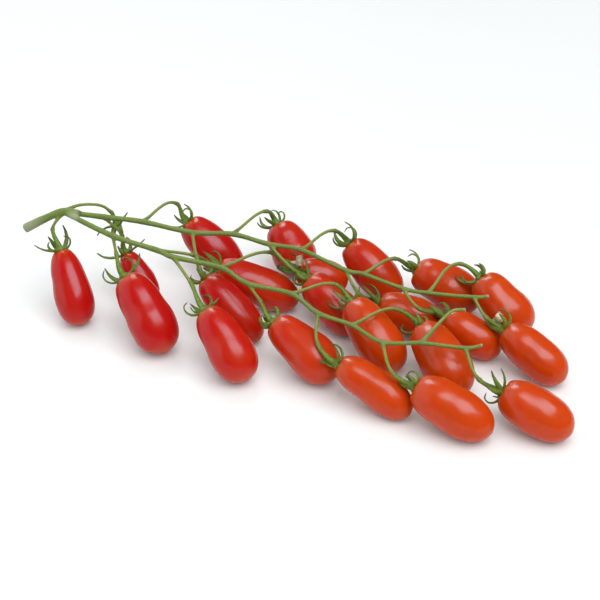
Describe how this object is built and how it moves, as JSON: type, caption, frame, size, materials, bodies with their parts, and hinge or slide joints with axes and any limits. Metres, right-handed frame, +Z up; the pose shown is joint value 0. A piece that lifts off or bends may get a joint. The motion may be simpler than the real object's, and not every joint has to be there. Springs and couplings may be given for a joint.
{
  "type": "truss of tomatoes",
  "caption": "Truss of small plum tomatoes on a forked green stalk, lying on a surface, each fruit on its own pedicel with a curled calyx.",
  "frame": {"origin": "on the surface that the truss lies on, under the middle of its bounding box", "axes": "+Z up; +X along the truss, from the cut stalk at -X to the last fruits at +X; +Y towards the back arm"},
  "size_m": [0.3323, 0.1374, 0.0582],
  "materials": {
    "tomato_skin": "glossy skin",
    "green_calyx": "matt, dark green",
    "green_stalk": "matt, light green",
    "dry_petal": "dry, straw-coloured"
  },
  "bodies": {
    "root": {"fruit_01": "tomato_skin", "fruit_02": "tomato_skin", "fruit_03": "tomato_skin", "fruit_04": "tomato_skin", "fruit_05": "tomato_skin", "fruit_06": "tomato_skin", "fruit_07": "tomato_skin", "fruit_08": "tomato_skin", "fruit_09": "tomato_skin", "fruit_10": "tomato_skin", "fruit_11": "tomato_skin", "fruit_12": "tomato_skin", "fruit_13": "tomato_skin", "fruit_14": "tomato_skin", "fruit_15": "tomato_skin", "fruit_16": "tomato_skin", "fruit_17": "tomato_skin", "fruit_18": "tomato_skin", "fruit_19": "tomato_skin", "fruit_20": "tomato_skin", "fruit_21": "tomato_skin", "fruit_22": "tomato_skin", "calyx_01": "green_calyx", "calyx_02": "green_calyx", "calyx_03": "green_calyx", "calyx_04": "green_calyx", "calyx_05": "green_calyx", "calyx_06": "green_calyx", "calyx_07": "green_calyx", "calyx_08": "green_calyx", "calyx_09": "green_calyx", "calyx_10": "green_calyx", "calyx_11": "green_calyx", "calyx_12": "green_calyx", "calyx_13": "green_calyx", "calyx_14": "green_calyx", "calyx_15": "green_calyx", "calyx_16": "green_calyx", "calyx_17": "green_calyx", "calyx_18": "green_calyx", "calyx_19": "green_calyx", "calyx_20": "green_calyx", "calyx_21": "green_calyx", "calyx_22": "green_calyx", "calyx_barren": "green_calyx", "stalk": "green_stalk", "dried_flower_10": "dry_petal", "dried_flower_19": "dry_petal"}
  },
  "joints": []
}
